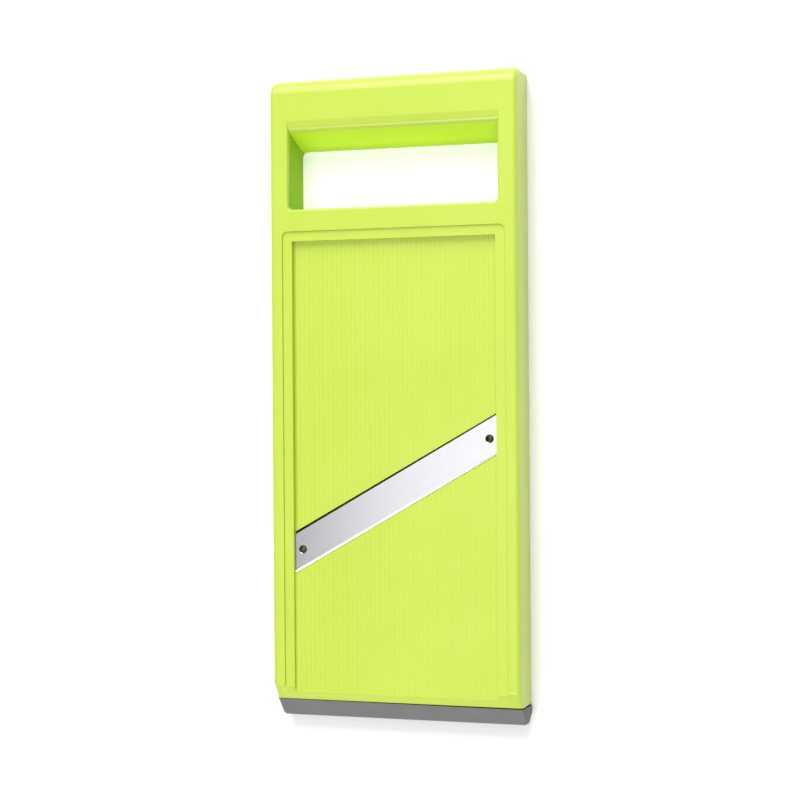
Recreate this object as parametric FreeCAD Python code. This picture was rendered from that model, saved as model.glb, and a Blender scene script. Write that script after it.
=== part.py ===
import FreeCAD, Part
import math
import os

# A flat mandoline slicer lying on its back. X runs across it, Y runs from the foot to the handle and
# Z is up, out of the slicing face. The origin is under its centre, on the surface that it lies on.
# All sizes are in millimetres.

# Overall sizes
length = 341.5
width = 136.0
depth = 24.0
wall = 2.5
rib = 1.8
fit_gap = 0.25

# Frame: outside edges
crown_radius = 8.0
side_radius = 2.5
back_radius = 1.0
ridge_radius = 3.0

# Frame: hand window, as seen on the slicing face
stile_width = 10.3
window_height = 42.7
grip_height = 26.6
grip_lean = 21.0
grip_edge_radius = 5.0
grip_lead_length = 2.8
grip_lead_drop = 0.85
grip_corner_front = 0.4
grip_corner_back = 3.0
window_corner_radius = 2.2
mouth_radius = 1.3

# Frame: the bar between the window and the deck, and the strip outside the deck
crossbar_height = 11.7
outer_strip = 6.8
recess_corner_radius = 3.0
end_bar = 14.5
end_lip = 3.0
channel_depth = 18.0
rib_spacing = 30.0

# Slope across the foot end, shared by the frame and the deck
slope_length = 8.5
slope_drop = 5.5

# Deck: a tray with a stepped border, a feed side above the blade and a run-off side below it
border_step = 1.0
border_width = 5.2
border_thickness = 3.0
border_gap = 0.05
web_thickness = 2.4
feed_drop = 4.0
slice_thickness = 1.2
deck_thickness = 2.4
deck_ribs = 43
bead_width = 1.3
bead_height = 0.08
stiffener_depth = 4.0
stiffener_setback = 28.0
feed_stiffeners = 2
runoff_stiffeners = 1

# Blade, its throat and its seat
blade_angle = 29.7
blade_width = 18.3
blade_thickness = 0.8
blade_setback = 109.8
blade_sink = 0.35
blade_end_gap = 0.15
throat_left = 1.2
throat_right = 0.6
seat_support = 11.0
seat_land = 10.0
seat_lead = 1.5
seat_overlap = 4.0
edge_lift = 0.3
top_bevel = 0.3
under_bevel = 3.2
back_bevel_width = 1.2
back_bevel_depth = 0.5
hole_inset = 4.3
hole_rim = 0.3
collar_diameter = 6.0
collar_depth = 2.0
seat_edge_width = 0.5
seat_edge_depth = 0.25

# Screws
blade_screw_diameter = 4.0
blade_screw_head = 7.5
blade_screw_head_height = 2.6
blade_screw_recess = 1.1
blade_boss_diameter = 9.0
blade_boss_bottom = 10.0
deck_screw_diameter = 2.5
deck_screw_clearance = 3.4
deck_screw_head = 5.6
deck_screw_head_height = 2.0
deck_screw_length = 9.5
deck_boss_diameter = 7.0
deck_screw_inset = 11.0
deck_screw_setback = 8.5
lug_width = 11.0
lug_length = 14.0
lug_bottom = 5.5
drive_width = 1.0
drive_depth = 1.1

# Foot cap
foot_length = 10.5
foot_proud = 0.4
foot_shoulder = 0.5
seam_gap_left = 0.4
seam_gap_right = 1.0
seam_depth = 3.0
foot_tip_height = 8.5
foot_heel_height = 5.0
foot_heel_run = 3.5
foot_tip_radius = 3.0
foot_corner_radius = 2.5
tongue_length = 5.0
tongue_inset = 9.0
tongue_bottom = 4.0
tongue_height = 7.0

# Places worked out from the sizes
half_width = width / 2
window_half = half_width - stile_width
foot_seam = -length / 2 + foot_length
handle_end = length / 2
slope_start = foot_seam + slope_length
blade_middle = foot_seam + blade_setback
tongue_half = half_width - tongue_inset
window_top = handle_end - grip_height
window_bottom = window_top - window_height
recess_end = window_bottom - crossbar_height
recess_half = half_width - outer_strip
deck_half = recess_half - border_width
deck_end = recess_end - border_width
border_top = depth - border_step
border_bottom = border_top - border_thickness
feed_top = depth - feed_drop
runoff_top = feed_top + slice_thickness
feed_bottom = feed_top - deck_thickness
runoff_bottom = runoff_top - deck_thickness
web_outer = deck_half + web_thickness
rail_inner = web_outer + fit_gap
deck_foot_end = foot_seam + end_lip
opening_end = deck_end + web_thickness + fit_gap
opening_start = foot_seam + end_bar
blade_top = runoff_top - blade_sink
blade_bottom = blade_top - blade_thickness
lug_top = lug_bottom + wall
slope_rate = slope_drop / slope_length
grip_tilt = math.radians(grip_lean)
grip_rate = math.tan(grip_tilt)
across = math.radians(blade_angle)


def vector(x, y, z):
    return FreeCAD.Vector(x, y, z)


def box(x0, x1, y0, y1, z0, z1):
    return Part.makeBox(x1 - x0, y1 - y0, z1 - z0, vector(x0, y0, z0))


def cylinder(diameter, x, y, z0, z1):
    return Part.makeCylinder(diameter / 2, z1 - z0, vector(x, y, z0))


def prism_along_x(points, x0, x1):
    """A solid whose outline is a list of (y, z) corners, from x0 to x1."""
    corners = [vector(x0, y, z) for y, z in points]
    outline = Part.makePolygon(corners + corners[:1])
    return Part.Face(outline).extrude(vector(x1 - x0, 0, 0))


def prism_up(points, z0, z1):
    """A solid whose outline is a list of (x, y) corners, from z0 to z1."""
    corners = [vector(x, y, z0) for x, y in points]
    outline = Part.makePolygon(corners + corners[:1])
    return Part.Face(outline).extrude(vector(0, 0, z1 - z0))


def edges_where(solid, test):
    """The straight or curved edges of a solid whose bounding boxes pass a test."""
    return [edge for edge in solid.Edges if test(edge.BoundBox)]


def slope_height(y):
    """The height of the sloping plane across the foot end."""
    return depth - slope_rate * (slope_start - y)


def above_slope():
    """Everything in front of the sloping plane, to cut away."""
    far = foot_seam - foot_length
    over = depth * 2
    points = [(slope_start, depth), (slope_start, over), (far, over), (far, slope_height(far))]
    return prism_along_x(points, -width, width)


def blade_line(shift, x):
    """The Y of a line along the blade at x, shifted square to it from the blade's middle."""
    return blade_middle + x * math.tan(across) + shift / math.cos(across)


def diagonal_band(low, high, x0, x1, z0, z1):
    """A band along the blade, between two shifts from its middle and two values of x."""
    points = [
        (x0, blade_line(low, x0)),
        (x1, blade_line(low, x1)),
        (x1, blade_line(high, x1)),
        (x0, blade_line(high, x0)),
    ]
    return prism_up(points, z0, z1)


def slanted_bar(section, x0, x1):
    """A straight bar along the blade with ends square to X; its section is a list of (shift, z)."""
    ends = []
    for x in (x0, x1):
        corners = [vector(x, blade_line(shift, x), z) for shift, z in section]
        ends.append(Part.makePolygon(corners + corners[:1]))
    return Part.makeLoft(ends, True, True)


def rounded_plate(half, y0, y1, radius, z0, z1):
    """A plate with its two corners at y1 rounded in plan."""
    plate = box(-half, half, y0, y1, z0, z1)
    corners = edges_where(plate, lambda b: b.YMin > y1 - 0.01 and b.XLength < 0.01 and b.ZLength > 0.01)
    return plate.makeFillet(radius, corners)


def pockets(x0, x1, y0, y1, top, along):
    """Hollows open at the back, split by ribs no further apart than rib_spacing."""
    start, end = (x0, x1) if along == "x" else (y0, y1)
    count = max(1, math.ceil((end - start) / rib_spacing))
    pitch = (end - start + rib) / count
    found = []
    for index in range(count):
        low = start + index * pitch
        high = low + pitch - rib
        if along == "x":
            found.append(box(low, high, y0, y1, -1.0, top))
        else:
            found.append(box(x0, x1, low, high, -1.0, top))
    return found


def frame_block():
    """The outside of the frame, before anything is cut into it."""
    bend = crown_radius * (1 - math.sqrt(0.5))
    start = vector(-half_width, handle_end - crown_radius, depth)
    middle = vector(-half_width, handle_end - bend, depth - bend)
    end = vector(-half_width, handle_end, depth - crown_radius)
    corners = [
        end,
        vector(-half_width, handle_end, 0),
        vector(-half_width, foot_seam, 0),
        vector(-half_width, foot_seam, slope_height(foot_seam)),
        vector(-half_width, slope_start, depth),
        start,
    ]
    outline = Part.Wire([Part.Arc(start, middle, end).toShape(), *Part.makePolygon(corners).Edges])
    block = Part.Face(outline).extrude(vector(width, 0, 0))
    ridge = edges_where(
        block, lambda b: b.ZMin > depth - 0.01 and abs(b.YMin - slope_start) < 0.01 and b.XLength > 1
    )
    block = block.makeFillet(ridge_radius, ridge)
    sides = edges_where(
        block,
        lambda b: b.XLength < 0.01 and b.ZMax > 0.01 and b.YMax > foot_seam + 0.01,
    )
    block = block.makeFillet(side_radius, sides)
    back = edges_where(block, lambda b: b.ZMax < 0.01 and b.YMax > foot_seam + 0.01)
    return block.makeFillet(back_radius, back)


def cut_window(frame):
    """Cuts the hand window square to the face, softens its mouth and adds the flared grip above it."""
    half = window_half
    start, *_, touch = grip_profile()
    top = start[0]
    hole = box(-half, half, window_bottom, top, -1, depth + 1)
    hole = hole.makeFillet(window_corner_radius, edges_where(hole, lambda b: b.ZLength > depth))
    frame = frame.cut(hole)
    reach = half + 0.01
    mouth = edges_where(
        frame,
        lambda b: b.ZMin > depth - 0.01 and max(-b.XMin, b.XMax) < reach and b.YMin > window_bottom - 0.01,
    )
    grip = grip_underside(half + mouth_radius)
    return frame.makeFillet(mouth_radius, mouth).fuse([grip, grip_corner(touch, -1), grip_corner(touch, 1)])


def grip_plane(z):
    """The Y of the grip's sloping finger side at a height."""
    return window_top - grip_rate * (depth - z)


def grip_profile():
    """The grip's lower edge as (y, z): it dips from the face, then rounds into the finger side."""
    radius = grip_edge_radius
    dip = math.atan(grip_lead_drop / grip_lead_length)
    centre_z = depth - grip_lead_drop - radius * math.cos(dip)
    touch_z = centre_z + radius * math.sin(grip_tilt)
    touch_y = grip_plane(touch_z)
    centre_y = touch_y + radius * math.cos(grip_tilt)
    half_turn = (dip + math.pi / 2 - grip_tilt) / 2
    lead = (centre_y - radius * math.sin(dip), depth - grip_lead_drop)
    middle = (centre_y - radius * math.sin(half_turn), centre_z + radius * math.cos(half_turn))
    return (lead[0] + grip_lead_length, depth), lead, middle, (touch_y, touch_z)


def grip_underside(half):
    """The grip's edge and finger side, which run back to the window's far side."""
    start, lead, middle, touch = [vector(-half, y, z) for y, z in grip_profile()]
    far = start.y + 2 * mouth_radius
    corners = [
        touch,
        vector(-half, grip_plane(0), 0),
        vector(-half, far, 0),
        vector(-half, far, depth),
        start,
        lead,
    ]
    outline = Part.Wire([Part.Arc(lead, middle, touch).toShape(), *Part.makePolygon(corners).Edges])
    return Part.Face(outline).extrude(vector(2 * half, 0, 0))


def grip_corner(touch, side):
    """Fills the corner between the grip's finger side and a stile; the hollow round grows backwards."""
    touch_z = touch[1]
    x = side * window_half
    outer_x = x + side * wall / 2
    outlines = []
    for z, radius in ((touch_z, grip_corner_front), (0, grip_corner_back)):
        y = grip_plane(z)
        bend = radius * (1 - math.sqrt(0.5))
        start = vector(x - side * radius, y, z)
        middle = vector(x - side * bend, y - bend, z)
        end = vector(x, y - radius, z)
        corners = [
            end,
            vector(outer_x, y - radius, z),
            vector(outer_x, y + wall / 2, z),
            vector(start.x, y + wall / 2, z),
            start,
        ]
        round_edge = Part.Arc(start, middle, end).toShape()
        outlines.append(Part.Wire([round_edge, *Part.makePolygon(corners).Edges]))
    return Part.makeLoft(outlines, True, True)


def frame_hollows():
    """The hollows in the back of the frame, which leave walls and ribs."""
    outside = half_width - wall
    found = []
    inside = wall / math.cos(grip_tilt)
    grip_low = grip_plane(0) + inside
    grip = prism_along_x(
        [
            (grip_plane(-1.0) + inside, -1.0),
            (grip_plane(channel_depth) + inside, channel_depth),
            (handle_end - crown_radius, channel_depth),
            (handle_end - wall, depth - crown_radius),
            (handle_end - wall, -1.0),
        ],
        -outside,
        outside,
    )
    count = math.ceil(2 * outside / rib_spacing)
    pitch = (2 * outside + rib) / count
    for index in range(1, count):
        middle = -outside + index * pitch - rib / 2
        grip = grip.cut(box(middle - rib / 2, middle + rib / 2, -length, length, -2, depth))
    found.append(grip)
    bar_low = recess_end + wall
    bar_high = window_bottom - wall
    found += pockets(-rail_inner, rail_inner, opening_end + wall, bar_high, channel_depth, "x")
    end_top = channel_depth - wall
    found += pockets(-rail_inner, rail_inner, foot_seam + wall, opening_start - wall, end_top, "x")
    for side in (-1, 1):
        stile = sorted((side * (window_half + wall), side * outside))
        rail = sorted((side * (rail_inner + wall), side * outside))
        found += pockets(*stile, bar_low, grip_low - wall, channel_depth, "y")
        found += pockets(*rail, foot_seam + wall, opening_end, channel_depth, "y")
    return found


def screw_places():
    """Where the deck is screwed to the frame: (x, y) of each screw."""
    near = opening_start + deck_screw_setback
    far = opening_end - deck_screw_setback
    half = deck_half - deck_screw_inset
    return [(-half, near), (half, near), (-half, far), (half, far)]


def hole_places():
    """Where the blade's two holes are: (x, y) on its middle line."""
    x = deck_half - hole_inset
    return [(-x, blade_line(0, -x)), (x, blade_line(0, x))]


def make_frame():
    frame = cut_window(frame_block())
    recess = rounded_plate(
        recess_half, deck_foot_end, recess_end, recess_corner_radius, border_bottom, depth + 5
    )
    opening = box(-rail_inner, rail_inner, opening_start, opening_end, -5, depth)
    end_seat = box(-rail_inner, rail_inner, deck_foot_end, opening_start + 1, runoff_bottom, depth)
    frame = frame.cut([recess, opening, end_seat])
    frame = frame.cut(frame_hollows())
    added = []
    for x, y in screw_places():
        inner = opening_start if y < 0 else opening_end
        low, high = (inner - 1, inner + lug_length) if y < 0 else (inner - lug_length, inner + 1)
        added.append(box(x - lug_width / 2, x + lug_width / 2, low, high, lug_bottom, lug_top))
    tongue = box(
        -tongue_half,
        tongue_half,
        foot_seam - tongue_length,
        foot_seam + wall,
        tongue_bottom,
        tongue_bottom + tongue_height,
    )
    frame = frame.fuse([*added, tongue])
    holes = [cylinder(deck_screw_clearance, x, y, lug_bottom - 1, lug_top + 1) for x, y in screw_places()]
    return frame.cut(holes).removeSplitter()


def ribbed_plate(top, bottom, y0, y1):
    """A plate whose top carries fine rounded beads along Y, evenly spread across the deck."""
    pitch = 2 * deck_half / deck_ribs
    low = top - bead_height
    edges = []
    x = -deck_half
    for index in range(deck_ribs):
        middle = -deck_half + (index + 0.5) * pitch
        left, right = middle - bead_width / 2, middle + bead_width / 2
        edges.append(Part.makeLine(vector(x, y0, low), vector(left, y0, low)))
        bead = Part.Arc(vector(left, y0, low), vector(middle, y0, top), vector(right, y0, low))
        edges.append(bead.toShape())
        x = right
    rest = [vector(x, y0, low), vector(deck_half, y0, low), vector(deck_half, y0, bottom)]
    rest += [vector(-deck_half, y0, bottom), vector(-deck_half, y0, low)]
    edges += Part.makePolygon(rest).Edges
    return Part.Face(Part.Wire(edges)).extrude(vector(0, y1 - y0, 0))


def deck_border():
    """The stepped border round the deck, and the web that joins it to the plates."""
    outer_half = recess_half - border_gap
    outer_end = recess_end - border_gap
    corner = recess_corner_radius - border_gap
    flange = rounded_plate(outer_half, deck_foot_end, outer_end, corner, border_bottom, border_top)
    web = box(-web_outer, web_outer, deck_foot_end, deck_end + web_thickness, feed_bottom, border_bottom)
    inside = box(-deck_half, deck_half, deck_foot_end - 1, deck_end, 0, depth)
    foot = box(-width, width, deck_foot_end - 1, opening_start + fit_gap, 0, runoff_bottom)
    return flange.fuse(web).cut([inside, foot])


def make_deck():
    half_blade = blade_width / 2
    reach = length
    plates = ribbed_plate(feed_top, feed_bottom, deck_foot_end, deck_end)
    feed = plates.cut(feed_clearance(half_blade))
    plates = ribbed_plate(runoff_top, runoff_bottom, deck_foot_end, deck_end)
    runoff = plates.cut(diagonal_band(-half_blade, reach, -width, width, 0, depth))
    deck = deck_border().fuse([feed, runoff])

    seat = [
        diagonal_band(
            -half_blade - seat_overlap,
            -half_blade + seat_support,
            -deck_half,
            deck_half,
            feed_bottom,
            blade_bottom,
        )
    ]
    for side in (-1, 1):
        x0, x1 = sorted((side * (deck_half - seat_land), side * deck_half))
        seat.append(
            diagonal_band(-half_blade, half_blade - seat_lead, x0, x1, feed_bottom, blade_bottom)
        )
    for x, y in hole_places():
        seat.append(cylinder(blade_boss_diameter, x, y, blade_boss_bottom, blade_bottom))
    for x, y in screw_places():
        under = runoff_bottom if y < 0 else feed_bottom
        seat.append(cylinder(deck_boss_diameter, x, y, lug_top, under))
    for index in range(1, feed_stiffeners + 1):
        y = deck_end - index * stiffener_setback
        seat.append(box(-deck_half, deck_half, y, y + rib, feed_bottom - stiffener_depth, feed_bottom))
    for index in range(1, runoff_stiffeners + 1):
        y = opening_start + index * stiffener_setback
        seat.append(box(-deck_half, deck_half, y, y + rib, runoff_bottom - stiffener_depth, runoff_bottom))
    deck = deck.fuse(seat)

    cuts = [above_slope()]
    for x, y in hole_places():
        cuts.append(cylinder(blade_screw_diameter + fit_gap, x, y, 0, depth))
        cuts.append(cylinder(collar_diameter + fit_gap, x, y, blade_bottom - collar_depth - fit_gap, depth))
    for x, y in screw_places():
        cuts.append(cylinder(deck_screw_diameter, x, y, 0, lug_bottom + deck_screw_length))
    cuts.append(seat_chamfer())
    return deck.cut(cuts).removeSplitter()


def feed_clearance(half_blade):
    """Everything on the blade's side of the feed plate's edge; the throat narrows from left to right."""
    left = blade_line(half_blade + throat_left, -deck_half)
    right = blade_line(half_blade + throat_right, deck_half)
    rise = (right - left) / (2 * deck_half)
    over = width - deck_half
    points = [
        (-width, -length),
        (width, -length),
        (width, right + rise * over),
        (-width, left - rise * over),
    ]
    return prism_up(points, 0, depth)


def seat_chamfer():
    """Breaks the edge of the run-off deck behind the blade."""
    edge = -blade_width / 2
    top = runoff_top - bead_height
    over = runoff_top + 1
    section = [
        (edge - seat_edge_width, top),
        (edge, top - seat_edge_depth),
        (edge, over),
        (edge - seat_edge_width, over),
    ]
    return slanted_bar(section, -deck_half, deck_half)


def make_blade():
    """A strip with vertical ends, a cutting edge, a bevel along its back and two collared holes."""
    half_blade = blade_width / 2
    end = deck_half - blade_end_gap
    edge_z = blade_bottom + edge_lift
    section = [
        (half_blade, edge_z),
        (half_blade - top_bevel, blade_top),
        (back_bevel_width - half_blade, blade_top),
        (-half_blade, blade_top - back_bevel_depth),
        (-half_blade, blade_bottom),
        (half_blade - under_bevel, blade_bottom),
    ]
    blade = slanted_bar(section, -end, end)
    collars = [
        cylinder(collar_diameter, x, y, blade_bottom - collar_depth, blade_bottom) for x, y in hole_places()
    ]
    blade = blade.fuse(collars)
    holes = []
    for x, y in hole_places():
        holes.append(cylinder(blade_screw_diameter, x, y, 0, depth))
        bore = blade_screw_diameter / 2
        foot = vector(x, y, blade_top - hole_rim)
        holes.append(Part.makeCone(bore, bore + 2 * hole_rim, 2 * hole_rim, foot))
    return blade.cut(holes).removeSplitter()


def screw(x, y, seat, diameter, tip, head, head_height, slot_angle):
    """A pan head screw standing on its head, which sits against a face at seat."""
    turned = cylinder(head, x, y, seat - head_height, seat)
    rim = edges_where(turned, lambda b: b.ZMax < seat - head_height + 0.01)
    turned = turned.makeFillet(head_height / 2, rim)
    turned = turned.fuse(cylinder(diameter, x, y, seat, tip))
    for turn in (0, 90):
        slot = box(-head / 4, head / 4, -drive_width / 2, drive_width / 2, -1, drive_depth)
        slot.rotate(vector(0, 0, 0), vector(0, 0, 1), slot_angle + turn)
        slot.translate(vector(x, y, seat - head_height))
        turned = turned.cut(slot)
    return turned.removeSplitter()


def make_foot():
    """The soft cap on the foot end: a wedge that slopes away from the slicing face."""
    tip = -length / 2
    half = half_width + foot_proud
    shoulder = slope_height(foot_seam) - foot_shoulder
    points = [
        (foot_seam, 0),
        (foot_seam, shoulder),
        (tip, foot_tip_height),
        (tip, foot_heel_height),
        (tip + foot_heel_run, 0),
    ]
    cap = prism_along_x(points, -half, half)
    tips = edges_where(cap, lambda b: b.XLength > half and b.YMax < tip + 0.01)
    cap = cap.makeFillet(foot_tip_radius, tips)
    tip_top = foot_tip_height + foot_tip_radius
    corners = edges_where(cap, lambda b: b.XLength < 0.01 and b.YMax < foot_seam - 0.01 and b.ZMax < tip_top)
    cap = cap.makeFillet(foot_corner_radius, corners)
    pocket = box(
        -tongue_half,
        tongue_half,
        foot_seam - tongue_length,
        foot_seam + 1,
        tongue_bottom,
        tongue_bottom + tongue_height,
    )
    inner = half_width - seam_depth
    land = box(-inner, inner, foot_seam - seam_gap_right, foot_seam, seam_depth, shoulder - seam_depth)
    return cap.cut(open_seam()).fuse(land).cut(pocket).removeSplitter()


def open_seam():
    """The gap round the cap at the seam, which opens from left to right."""
    spread = (seam_gap_right - seam_gap_left) / 2
    middle = foot_seam - (seam_gap_left + seam_gap_right) / 2
    points = [
        (-half_width, middle + spread),
        (half_width, middle - spread),
        (width, middle - spread),
        (width, foot_seam + 1),
        (-width, foot_seam + 1),
        (-width, middle + spread),
    ]
    return prism_up(points, -1, depth)


os.makedirs("parts", exist_ok=True)


def save(name, shape):
    print(name, shape.isValid(), len(shape.Solids), round(shape.Volume))
    shape.exportStep(f"parts/{name}.step")


save("frame", make_frame())
save("deck", make_deck())
save("blade", make_blade())
save("foot_cap", make_foot())
for name, (x, y) in zip(("left", "right"), hole_places()):
    tip_height = blade_top - blade_screw_recess
    sizes = (blade_screw_diameter, tip_height, blade_screw_head, blade_screw_head_height, blade_angle)
    save(f"blade_screw_{name}", screw(x, y, blade_boss_bottom, *sizes))
for name, (x, y) in zip(("foot_left", "foot_right", "grip_left", "grip_right"), screw_places()):
    tip_height = lug_bottom + deck_screw_length
    sizes = (deck_screw_diameter, tip_height, deck_screw_head, deck_screw_head_height, 0)
    save(f"deck_screw_{name}", screw(x, y, lug_bottom, *sizes))
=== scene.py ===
import math

import bmesh
import bpy
from mathutils import Matrix, Vector


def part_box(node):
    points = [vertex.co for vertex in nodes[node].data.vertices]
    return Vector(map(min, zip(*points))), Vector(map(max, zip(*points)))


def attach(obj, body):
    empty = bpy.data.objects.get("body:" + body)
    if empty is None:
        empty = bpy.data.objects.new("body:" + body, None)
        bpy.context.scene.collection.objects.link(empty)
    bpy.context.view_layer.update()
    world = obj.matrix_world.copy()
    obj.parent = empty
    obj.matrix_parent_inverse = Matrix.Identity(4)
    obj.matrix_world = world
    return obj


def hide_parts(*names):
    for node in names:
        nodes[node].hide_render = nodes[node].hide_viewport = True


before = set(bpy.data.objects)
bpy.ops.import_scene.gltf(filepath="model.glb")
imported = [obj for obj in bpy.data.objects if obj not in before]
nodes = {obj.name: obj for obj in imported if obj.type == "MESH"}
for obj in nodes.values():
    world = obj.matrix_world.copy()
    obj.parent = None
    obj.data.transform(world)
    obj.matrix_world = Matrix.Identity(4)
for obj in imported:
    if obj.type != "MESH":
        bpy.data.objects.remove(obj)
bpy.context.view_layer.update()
print("frame loaded:", len(nodes), "nodes")

# The slicer lies on its back: X runs across it, Y from the foot to the handle, Z out of its slicing face.
mm = 0.001


# small helpers

def fromHex(code):
    # sRGB hex to linear RGBA
    channels = [int(code[i:i + 2], 16) / 255 for i in (1, 3, 5)]
    return [c / 12.92 if c <= 0.04045 else ((c + 0.055) / 1.055) ** 2.4 for c in channels] + [1.0]


def addNode(tree, kind, settings=None, links=None):
    made = tree.nodes.new(kind)
    for key, value in (settings or {}).items():
        if isinstance(key, int) or key in made.inputs:
            made.inputs[key].default_value = value
        else:
            setattr(made, key, value)
    for key, output in (links or {}).items():
        tree.links.new(output, made.inputs[key])
    return made


def newMaterial(name):
    material = bpy.data.materials.new(name)
    material.use_nodes = True
    material.node_tree.nodes.clear()
    return material, material.node_tree


meshWork = {
    "weld": 0.002 * mm,
    "flat": math.radians(0.2),         # faces within this angle are one flat area
    "outsideEdge": math.radians(25),   # the least turn of an edge that gets rounded
    "touch": 0.01 * mm,                # how far off a plane an edge may lie and still be on it
    "cut": 0.001 * mm,
    "shadeWeight": 100,                # large faces decide the shading of the rounds beside them
}


def mergedMesh(nodeName):
    # a welded working copy of a CAD node, with its flat areas made whole again
    mesh = bmesh.new()
    mesh.from_mesh(nodes[nodeName].data)
    bmesh.ops.remove_doubles(mesh, verts=mesh.verts, dist=meshWork["weld"])
    bmesh.ops.dissolve_limit(mesh, angle_limit=meshWork["flat"], verts=mesh.verts, edges=mesh.edges)
    return mesh


def softenEdges(mesh, width, segments, test):
    # rounds the sharp outside edges that pass a test on their two ends
    chosen = []
    for edge in mesh.edges:
        if len(edge.link_faces) != 2 or edge.calc_face_angle_signed(0) < meshWork["outsideEdge"]:
            continue
        if test(*(vert.co for vert in edge.verts)):
            chosen.append(edge)
    bmesh.ops.bevel(
        mesh, geom=chosen, offset=width, offset_type="OFFSET", segments=segments, profile=0.5,
        affect="EDGES", clamp_overlap=True, material=-1,
    )
    return len(chosen)


def finishPiece(mesh, name, material, nodeName, sharp):
    # edges that turn by more than sharp, in degrees, stay sharp
    data = bpy.data.meshes.new(name)
    bmesh.ops.triangulate(mesh, faces=[face for face in mesh.faces if len(face.verts) > 4])
    mesh.to_mesh(data)
    mesh.free()
    data.shade_smooth()
    data.set_sharp_from_angle(angle=math.radians(sharp))
    data.materials.append(material)
    piece = bpy.data.objects.new(name, data)
    bpy.context.scene.collection.objects.link(piece)
    weighted = piece.modifiers.new("evenShading", "WEIGHTED_NORMAL")
    weighted.keep_sharp = True
    weighted.weight = meshWork["shadeWeight"]
    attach(piece, "root")
    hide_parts(nodeName)
    return piece


# materials

# Injection-moulded ABS in a lime masterbatch. The tool was polished and then lightly spark-textured, so the
# eye sees a clean satin gloss, a very fine grain and soft cloudy changes where the melt flowed.
absLook = {
    "colour": "#B6CC44",
    "paler": "#B8CE48",
    "deeper": "#B4CA40",
    "roughness": 0.3,
    "specular": 0.5,
    "ior": 1.53,
    "grainSize": 0.55 * mm,   # the real grain is nearer 0.1 mm, too fine to show
    "grainStrength": 0.35,
    "cloudSize": 45 * mm,
    "scuffAcross": 0.7 * mm,
    "scuffAlong": 22 * mm,
    "scuffShift": (41.3, 17.7, 8.9),   # keeps the pattern's straight seams off the piece
}


def mouldedAbs(name, look, scuffs, grainDepth):
    material, tree = newMaterial(name)
    coords = addNode(tree, "ShaderNodeTexCoord").outputs["Object"]
    clouds = addNode(tree, "ShaderNodeTexNoise",
                     {"Scale": 1 / look["cloudSize"], "Detail": 3, "Roughness": 0.55}, {"Vector": coords})
    colour = addNode(tree, "ShaderNodeValToRGB", {}, {"Fac": clouds.outputs["Fac"]})
    stops = colour.color_ramp.elements
    stops[0].position, stops[0].color = 0.3, fromHex(look["deeper"])
    stops[1].position, stops[1].color = 0.7, fromHex(look["paler"])
    stops.new(0.5).color = fromHex(look["colour"])
    across, along = 1 / look["scuffAcross"], 1 / look["scuffAlong"]
    stretched = addNode(tree, "ShaderNodeMapping",
                        {"Location": look["scuffShift"], "Scale": (across, along, across)},
                        {"Vector": coords})
    streaks = addNode(tree, "ShaderNodeTexNoise", {"Scale": 1, "Detail": 2, "Roughness": 0.5},
                      {"Vector": stretched.outputs["Vector"]})
    gloss = addNode(tree, "ShaderNodeMapRange",
                    {"From Min": 0.35, "From Max": 0.7, "To Min": look["roughness"] - scuffs,
                     "To Max": look["roughness"] + scuffs},
                    {"Value": streaks.outputs["Fac"]})
    grain = addNode(tree, "ShaderNodeTexNoise",
                    {"Scale": 1 / look["grainSize"], "Detail": 4, "Roughness": 0.6, "Distortion": 0.3},
                    {"Vector": coords})
    bump = addNode(tree, "ShaderNodeBump", {"Strength": look["grainStrength"], "Distance": grainDepth},
                   {"Height": grain.outputs["Fac"]})
    shader = addNode(tree, "ShaderNodeBsdfPrincipled",
                     {"IOR": look["ior"], "Metallic": 0.0, "Specular IOR Level": look["specular"]},
                     {"Base Color": colour.outputs["Color"], "Roughness": gloss.outputs["Result"],
                      "Normal": bump.outputs["Normal"]})
    addNode(tree, "ShaderNodeOutputMaterial", {}, {"Surface": shader.outputs["BSDF"]})
    return material


# Cold-rolled martensitic stainless strip, ground lengthwise. It gives long fine lines that draw the
# reflections out across the blade.
steelLook = {
    "bright": "#CDCED2",
    "dull": "#C5C6CB",
    "roughness": 0.22,
    "smoother": 0.02,          # how far the roughness falls and rises from line to line
    "rougher": 0.03,
    "lineAcross": 0.28 * mm,   # real grinding lines are about 0.05 mm apart
    "lineAlong": 30 * mm,
    "lineShift": (23.7, 61.3, 9.1),   # keeps the seams off, as above
    "lineDepth": 0.002 * mm,
    "lineStrength": 0.1,
    "turn": math.radians(29.7),
}


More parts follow.
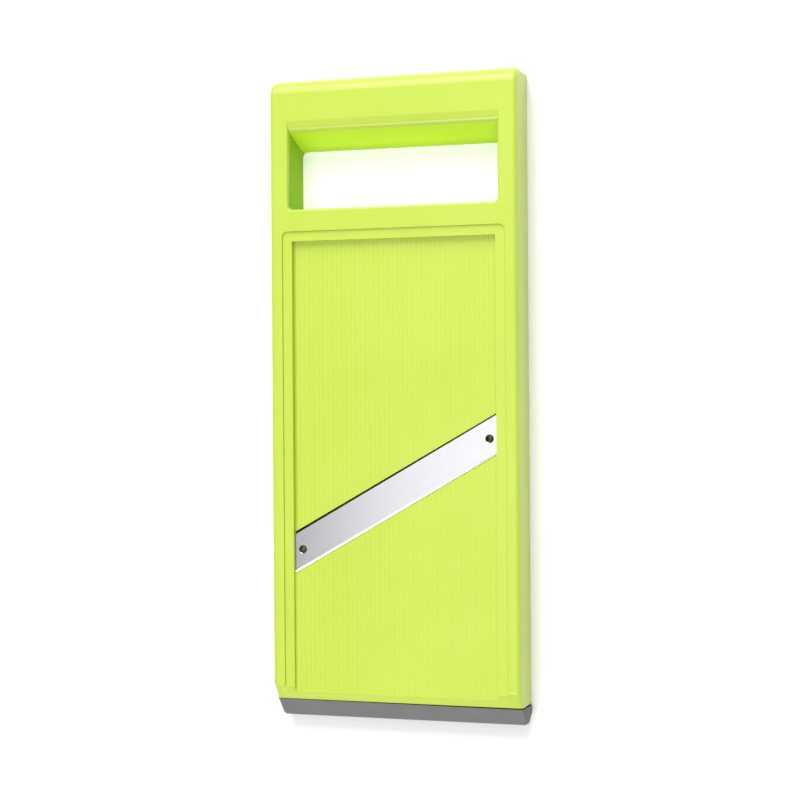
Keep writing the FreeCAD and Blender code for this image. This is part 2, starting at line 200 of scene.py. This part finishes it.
def groundSteel(name, look):
    material, tree = newMaterial(name)
    coords = addNode(tree, "ShaderNodeTexCoord").outputs["Object"]
    turned = addNode(tree, "ShaderNodeMapping", {"vector_type": "POINT", "Rotation": (0, 0, -look["turn"])},
                     {"Vector": coords})
    across, along = 1 / look["lineAcross"], 1 / look["lineAlong"]
    stretched = addNode(tree, "ShaderNodeMapping",
                        {"Location": look["lineShift"], "Scale": (along, across, across)},
                        {"Vector": turned.outputs["Vector"]})
    lines = addNode(tree, "ShaderNodeTexNoise", {"Scale": 1, "Detail": 6, "Roughness": 0.65},
                    {"Vector": stretched.outputs["Vector"]})
    colour = addNode(tree, "ShaderNodeValToRGB", {}, {"Fac": lines.outputs["Fac"]})
    stops = colour.color_ramp.elements
    stops[0].position, stops[0].color = 0.3, fromHex(look["dull"])
    stops[1].position, stops[1].color = 0.7, fromHex(look["bright"])
    gloss = addNode(tree, "ShaderNodeMapRange",
                    {"From Min": 0.3, "From Max": 0.7, "To Min": look["roughness"] - look["smoother"],
                     "To Max": look["roughness"] + look["rougher"]},
                    {"Value": lines.outputs["Fac"]})
    bump = addNode(tree, "ShaderNodeBump", {"Strength": look["lineStrength"], "Distance": look["lineDepth"]},
                   {"Height": lines.outputs["Fac"]})
    shader = addNode(tree, "ShaderNodeBsdfPrincipled", {"Metallic": 1.0},
                     {"Base Color": colour.outputs["Color"], "Roughness": gloss.outputs["Result"],
                      "Normal": bump.outputs["Normal"]})
    addNode(tree, "ShaderNodeOutputMaterial", {}, {"Surface": shader.outputs["BSDF"]})
    return material


# Injection-moulded TPE, about 60 Shore A, from a blasted tool: a dull grey skin with a fine sandy grain.
tpeLook = {
    "colour": "#686868",
    "dusty": "#6F6F6E",
    "roughness": 0.72,
    "uneven": 0.06,
    "ior": 1.48,
    "grainSize": 0.6 * mm,
    "grainDepth": 0.02 * mm,
    "grainStrength": 0.5,
    "dustSize": 14 * mm,
}


def softTpe(name, look):
    material, tree = newMaterial(name)
    coords = addNode(tree, "ShaderNodeTexCoord").outputs["Object"]
    dust = addNode(tree, "ShaderNodeTexNoise", {"Scale": 1 / look["dustSize"], "Detail": 5, "Roughness": 0.6},
                   {"Vector": coords})
    colour = addNode(tree, "ShaderNodeValToRGB", {}, {"Fac": dust.outputs["Fac"]})
    stops = colour.color_ramp.elements
    stops[0].position, stops[0].color = 0.35, fromHex(look["colour"])
    stops[1].position, stops[1].color = 0.75, fromHex(look["dusty"])
    grain = addNode(tree, "ShaderNodeTexNoise", {"Scale": 1 / look["grainSize"], "Detail": 3, "Roughness": 0.7},
                    {"Vector": coords})
    gloss = addNode(tree, "ShaderNodeMapRange",
                    {"From Min": 0.3, "From Max": 0.7, "To Min": look["roughness"] - look["uneven"],
                     "To Max": look["roughness"] + look["uneven"]},
                    {"Value": grain.outputs["Fac"]})
    bump = addNode(tree, "ShaderNodeBump", {"Strength": look["grainStrength"], "Distance": look["grainDepth"]},
                   {"Height": grain.outputs["Fac"]})
    shader = addNode(tree, "ShaderNodeBsdfPrincipled", {"IOR": look["ior"], "Metallic": 0.0},
                     {"Base Color": colour.outputs["Color"], "Roughness": gloss.outputs["Result"],
                      "Normal": bump.outputs["Normal"]})
    addNode(tree, "ShaderNodeOutputMaterial", {}, {"Surface": shader.outputs["BSDF"]})
    return material


# Screw steel painted a dark olive grey that stays dark even where the light falls on it: painted shade for the
# deep blade holes, tinted green as by light bounced off the lime plastic. Its gloss is uneven, smoother where
# the oil lies.
screwShadeLook = {
    "bright": "#6A6E48",
    "dull": "#3C4026",
    "roughness": 0.46,
    "oiled": 0.05,    # how much smoother it is where the oil lies
    "dry": 0.12,      # and how much rougher where there is none
    "cloudSize": 1.6 * mm,
}


def paintedShadeScrewSteel(name, look):
    material, tree = newMaterial(name)
    coords = addNode(tree, "ShaderNodeTexCoord").outputs["Object"]
    clouds = addNode(tree, "ShaderNodeTexNoise",
                     {"Scale": 1 / look["cloudSize"], "Detail": 4, "Roughness": 0.6}, {"Vector": coords})
    colour = addNode(tree, "ShaderNodeValToRGB", {}, {"Fac": clouds.outputs["Fac"]})
    stops = colour.color_ramp.elements
    stops[0].position, stops[0].color = 0.35, fromHex(look["dull"])
    stops[1].position, stops[1].color = 0.7, fromHex(look["bright"])
    gloss = addNode(tree, "ShaderNodeMapRange",
                    {"From Min": 0.3, "From Max": 0.7, "To Min": look["roughness"] - look["oiled"],
                     "To Max": look["roughness"] + look["dry"]},
                    {"Value": clouds.outputs["Fac"]})
    shader = addNode(tree, "ShaderNodeBsdfPrincipled", {"Metallic": 1.0},
                     {"Base Color": colour.outputs["Color"], "Roughness": gloss.outputs["Result"]})
    addNode(tree, "ShaderNodeOutputMaterial", {}, {"Surface": shader.outputs["BSDF"]})
    return material


# The window's side walls use a darker, duller copy of the lime: the deeper colour is painted shade for the
# little light that reaches into the window, and the finish is rougher.
# The grip's finger side uses a more saturated, duller copy of the lime: painted bounce light, the green light
# the lime walls throw onto it.
windowShadeLook = dict(absLook, colour="#90BC06", paler="#94C009", deeper="#8BB804", roughness=0.62, specular=0.2)
gripBounceLook = dict(absLook, colour="#B6D923", paler="#BADC28", deeper="#B2D51F", roughness=0.6, specular=0.3)

frameAbs = mouldedAbs("limeMouldedAbs", absLook, 0.012, 0.012 * mm)
windowShadeAbs = mouldedAbs("limeWindowPaintedShadeAbs", windowShadeLook, 0.03, 0.03 * mm)
gripBounceAbs = mouldedAbs("limeGripPaintedBounceAbs", gripBounceLook, 0.03, 0.03 * mm)
deckAbs = mouldedAbs("limeRibbedAbs", absLook, 0.02, 0.008 * mm)
bladeSteel = groundSteel("groundStainlessSteel", steelLook)
footTpe = softTpe("greyBlastedTpe", tpeLook)
screwShadeSteel = paintedShadeScrewSteel("paintedShadeScrewSteel", screwShadeLook)
print("materials made")


# frame
frameLook = {
    "mouthRound": 0.95 * mm,     # on the mouth of the deck's recess
    "mouthReach": 0.2 * mm,      # how far the recess may stand off the deck
    "mouthLow": 23.3 * mm,
    "mouthEnd": -152.0 * mm,     # where the step runs out on the slope
    "endRound": 0.5 * mm,        # where the frame meets the foot cap
    "endSteps": 3,
    "endLow": 1.0 * mm,
    "windowHalf": 57.9 * mm,
    "windowLow": 101.7 * mm,
    "windowReach": 0.4 * mm,     # how far the window's round edge reaches past that
    "gripFront": 130.0 * mm,     # the grip's finger side lies beyond this
    "gripBack": 135.3 * mm,      # and reaches this at the back
    "gripLean": 0.385,           # and leans this fast
    "gripHeight": 20.0 * mm,     # where the grip's round front edge begins
    "wallShadeHeight": 21.0 * mm,
    "sideFacing": 0.6,           # the least sideways part of a side wall's normal
    "gripFacing": -0.3,          # and the lengthwise part of the finger side's
    "sharp": 32,
}

frameMesh = mergedMesh("frame")
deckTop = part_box("deck")[1]
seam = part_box("foot_cap")[1].y
mouthX, mouthY = deckTop.x + frameLook["mouthReach"], deckTop.y + frameLook["mouthReach"]
mouthStart = frameLook["mouthEnd"] - meshWork["touch"]


def onMouth(a, b):
    return (min(a.z, b.z) > frameLook["mouthLow"] and mouthStart < min(a.y, b.y)
            and max(a.y, b.y) < mouthY and max(abs(a.x), abs(b.x)) < mouthX)


def onFrameEnd(a, b):
    return max(abs(a.y - seam), abs(b.y - seam)) < meshWork["touch"] and max(a.z, b.z) > frameLook["endLow"]


# A cut across the recess where its step runs out keeps the low end wall there from holding the rounding back.
bmesh.ops.bisect_plane(
    frameMesh, geom=[*frameMesh.verts, *frameMesh.edges, *frameMesh.faces], dist=meshWork["cut"],
    plane_co=(0, frameLook["mouthEnd"], 0), plane_no=(0, 1, 0),
)
mouthEdges = softenEdges(frameMesh, frameLook["mouthRound"], 1, onMouth)
endEdges = softenEdges(frameMesh, frameLook["endRound"], frameLook["endSteps"], onFrameEnd)
frameBody = finishPiece(frameMesh, "frameBody", frameAbs, "frame", frameLook["sharp"])
frameBody.data.materials.append(windowShadeAbs)
frameBody.data.materials.append(gripBounceAbs)
for face in frameBody.data.polygons:
    x, y, z = face.center
    inWindow = (abs(x) < frameLook["windowHalf"] and frameLook["windowLow"] - frameLook["windowReach"] < y
                and y < frameLook["gripBack"] + frameLook["gripLean"] * z)
    if not inWindow:
        continue
    # the window's side walls take the darker lime copy: painted shade
    if abs(face.normal.x) > frameLook["sideFacing"] and z < frameLook["wallShadeHeight"]:
        face.material_index = 1
    # the grip's finger side takes the more saturated lime copy: painted bounce light
    elif (face.normal.y < frameLook["gripFacing"] and y > frameLook["gripFront"]
            and z < frameLook["gripHeight"]):
        face.material_index = 2
print("frame done, edges rounded:", mouthEdges, endEdges)

# deck
deckLook = {
    "plateLow": 19.5 * mm,   # the ribbed plates lie above this
    "plateFacing": 0.9,
    "sharp": 28,
}

deckMesh = mergedMesh("deck")
deckTray = finishPiece(deckMesh, "deckTray", deckAbs, "deck", deckLook["sharp"])
for face in deckTray.data.polygons:
    if face.normal.z > deckLook["plateFacing"] and face.center.z > deckLook["plateLow"]:
        face.use_smooth = False   # the beads are too low for their facets to show
print("deck done")

# blade
bladeLook = {"sharp": 20}

bladeMesh = mergedMesh("blade")
finishPiece(bladeMesh, "bladeStrip", bladeSteel, "blade", bladeLook["sharp"])
print("blade done")

# foot cap
footLook = {
    "seamRound": 0.25 * mm,
    "seamSteps": 3,
    "seamWide": 1.1 * mm,
    "seamLow": 16.8 * mm,
    "sharp": 32,
}


def onSeam(a, b):
    return min(a.y, b.y) > seam - footLook["seamWide"] and min(a.z, b.z) > footLook["seamLow"]


footMesh = mergedMesh("foot_cap")
softenEdges(footMesh, footLook["seamRound"], footLook["seamSteps"], onSeam)
finishPiece(footMesh, "footCap", footTpe, "foot_cap", footLook["sharp"])
print("foot cap done")

# screws
screwLook = {"sharp": 32}

for nodeName in sorted(nodes):
    if "screw" in nodeName:
        screwMesh = mergedMesh(nodeName)
        # the screw ends carry the painted shade of the blade holes
        finishPiece(screwMesh, nodeName + "Turned", screwShadeSteel, nodeName, screwLook["sharp"])
print("screws done")


# floor, light and camera
studio = {
    "floorHalf": 4.5,
    "floorHeight": -0.1 * mm,
    "floorColour": "#F3F3F3",
    "cardHeight": -0.05 * mm,    # a small glowing card lies under the hand window: painted light that keeps the floor seen through the window white
    "cardColour": "#F7F7F7",
    "cardGlow": 0.33,
    "paperRoughness": 0.9,
    "paperIor": 1.4,
    "worldColour": "#FFFFFF",
    "worldStrength": 0.41,
    "lights": {
        # name: (centre, point it faces, across, along, watts)
        "overhead": ((-0.1, 0.0, 1.45), (-0.1, 0.0, 0.0), 0.86, 1.1, 4.1),
        "handleSide": ((-0.05, 1.35, 0.95), (0.0, 0.0, 0.0), 1.3, 1.3, 30.0),
        "footSide": ((0.0, -1.3, 0.9), (0.0, 0.0, 0.0), 1.4, 0.4, 14.0),
        "bladeGlint": ((-0.16, -1.02, 1.04), (0.0, -0.06, 0.0), 0.52, 0.3, 1.3),
    },
    "lens": 80.72,
    "sensorWidth": 36.0,
    "clipStart": 0.01,
    "eye": (0.28668, -0.00055, 0.91948),
    "tilt": math.radians(17.5),
    "roll": math.radians(-0.418),
}


def paperSheet(name, low, high, height, colour, glow):
    sheetMesh = bmesh.new()
    bmesh.ops.create_grid(sheetMesh, x_segments=1, y_segments=1, size=0.5)
    bmesh.ops.scale(sheetMesh, verts=sheetMesh.verts, vec=(high[0] - low[0], high[1] - low[1], 1))
    bmesh.ops.translate(sheetMesh, verts=sheetMesh.verts,
                        vec=((low[0] + high[0]) / 2, (low[1] + high[1]) / 2, height))
    sheetData = bpy.data.meshes.new(name)
    sheetMesh.to_mesh(sheetData)
    sheetMesh.free()
    sheet = bpy.data.objects.new(name, sheetData)
    bpy.context.scene.collection.objects.link(sheet)
    paper, tree = newMaterial(name + "Paper")
    shader = addNode(tree, "ShaderNodeBsdfPrincipled",
                     {"Base Color": fromHex(colour), "Roughness": studio["paperRoughness"],
                      "IOR": studio["paperIor"], "Emission Color": fromHex(colour), "Emission Strength": glow})
    addNode(tree, "ShaderNodeOutputMaterial", {}, {"Surface": shader.outputs["BSDF"]})
    sheetData.materials.append(paper)


floorHalf = studio["floorHalf"]
paperSheet("floor", (-floorHalf, -floorHalf), (floorHalf, floorHalf), studio["floorHeight"],
           studio["floorColour"], 0)
# the glowing card under the hand window is painted light, not a lamp
paperSheet("windowGlowCard", (-frameLook["windowHalf"], frameLook["windowLow"]),
           (frameLook["windowHalf"], frameLook["gripBack"]), studio["cardHeight"],
           studio["cardColour"], studio["cardGlow"])

world = bpy.data.worlds.new("softRoom")
world.use_nodes = True
background = world.node_tree.nodes["Background"]
background.inputs["Color"].default_value = fromHex(studio["worldColour"])
background.inputs["Strength"].default_value = studio["worldStrength"]
bpy.context.scene.world = world

for name, (place, target, across, along, watts) in studio["lights"].items():
    light = bpy.data.lights.new(name, "AREA")
    light.shape = "RECTANGLE"
    light.size = across
    light.size_y = along
    light.energy = watts
    lamp = bpy.data.objects.new(name, light)
    lamp.location = place
    lamp.rotation_euler = (Vector(target) - Vector(place)).to_track_quat("-Z", "Y").to_euler()
    bpy.context.scene.collection.objects.link(lamp)

camera = bpy.data.objects.new("camera", bpy.data.cameras.new("camera"))
camera.data.lens = studio["lens"]
camera.data.sensor_width = studio["sensorWidth"]
camera.data.clip_start = studio["clipStart"]
turned = Matrix.Rotation(studio["tilt"], 4, "Y") @ Matrix.Rotation(studio["roll"], 4, "Z")
camera.matrix_world = Matrix.Translation(studio["eye"]) @ turned
bpy.context.scene.collection.objects.link(camera)
bpy.context.scene.camera = camera
bpy.context.scene.view_settings.view_transform = "Standard"
print("studio done")
